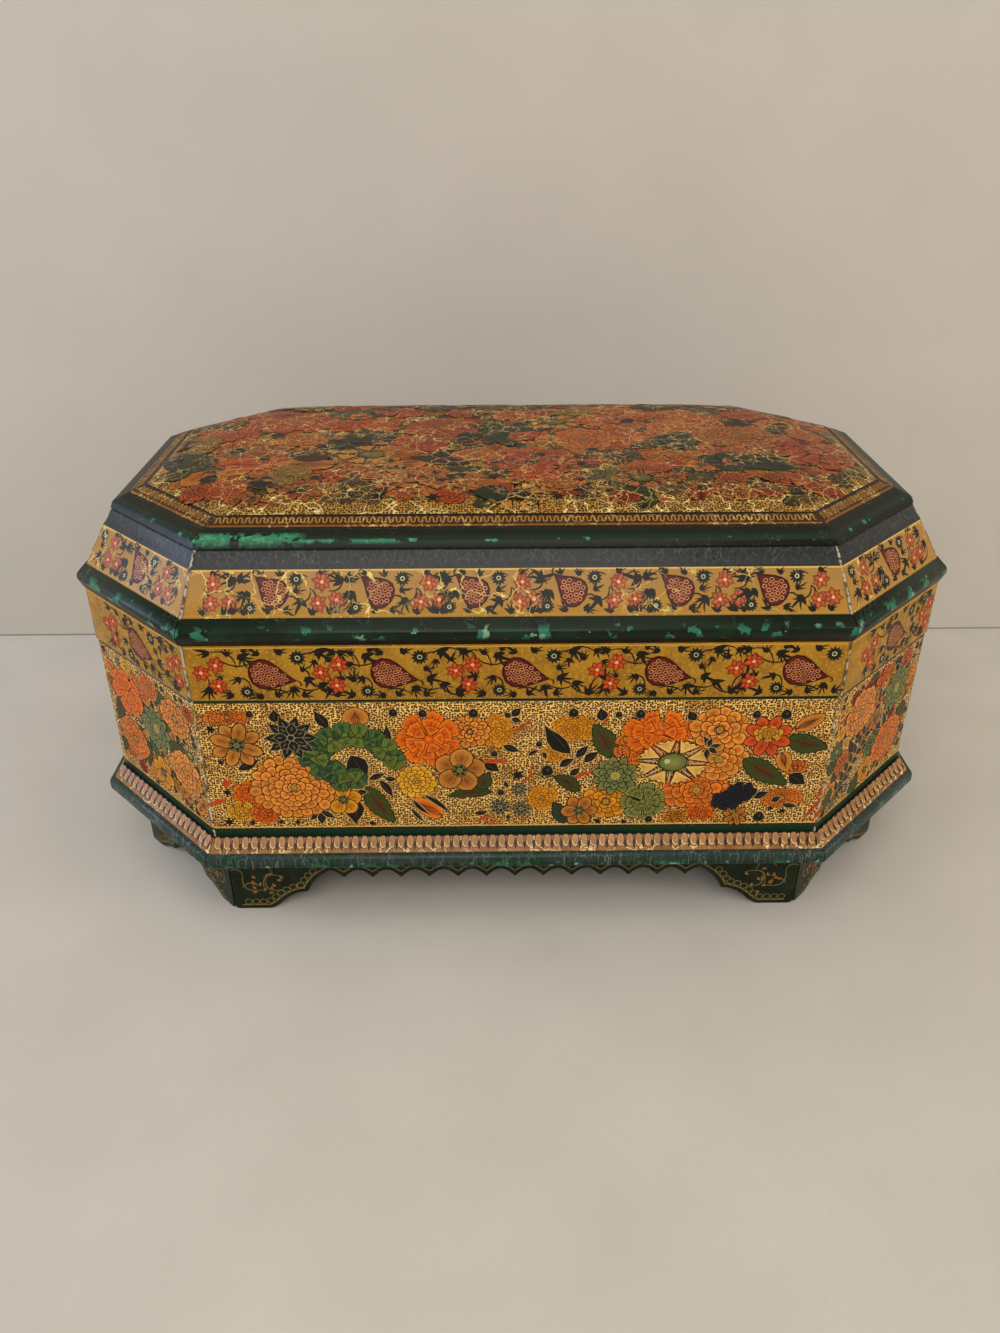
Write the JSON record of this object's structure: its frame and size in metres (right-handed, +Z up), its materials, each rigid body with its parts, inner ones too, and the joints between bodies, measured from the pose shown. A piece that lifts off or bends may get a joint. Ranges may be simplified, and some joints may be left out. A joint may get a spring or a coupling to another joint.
{
  "type": "octagonal casket with lift-off lid",
  "caption": "Long octagonal papier-mache casket with a lift-off cushioned lid, a moulded plinth and a scalloped bracket base, painted all over with flowers on gold.",
  "frame": {"origin": "on the ground under the middle of the casket", "axes": "+X along the front to the right, +Y from front to back, +Z up"},
  "size_m": [0.344, 0.205, 0.1671],
  "materials": {
    "painted_wall": "gloss",
    "painted_lid": "gloss",
    "painted_crown": "gloss",
    "bead_green": "gloss",
    "plinth_band": "gloss",
    "bracket_green": "satin",
    "inside_lacquer": "satin"
  },
  "bodies": {
    "casket": {"floor_board": "inside_lacquer", "body_wall": "painted_wall", "bracket_front": "bracket_green", "bracket_front_right": "bracket_green", "bracket_right": "bracket_green", "bracket_back_right": "bracket_green", "bracket_back": "bracket_green", "bracket_back_left": "bracket_green", "bracket_left": "bracket_green", "bracket_front_left": "bracket_green", "plinth_front": "plinth_band", "plinth_front_right": "plinth_band", "plinth_right": "plinth_band", "plinth_back_right": "plinth_band", "plinth_back": "plinth_band", "plinth_back_left": "plinth_band", "plinth_left": "plinth_band", "plinth_front_left": "plinth_band", "collar_front": "inside_lacquer", "collar_front_right": "inside_lacquer", "collar_right": "inside_lacquer", "collar_back_right": "inside_lacquer", "collar_back": "inside_lacquer", "collar_back_left": "inside_lacquer", "collar_left": "inside_lacquer", "collar_front_left": "inside_lacquer"},
    "lid": {"lid_shell": "painted_lid", "lid_crown": "painted_crown", "bead_front": "bead_green", "bead_front_right": "bead_green", "bead_right": "bead_green", "bead_back_right": "bead_green", "bead_back": "bead_green", "bead_back_left": "bead_green", "bead_left": "bead_green", "bead_front_left": "bead_green"}
  },
  "joints": [
    {"name": "lid_lift", "type": "slide", "parent": "casket", "child": "lid", "axis": [0, 0, 1], "range_m": [0, 0.15]}
  ]
}
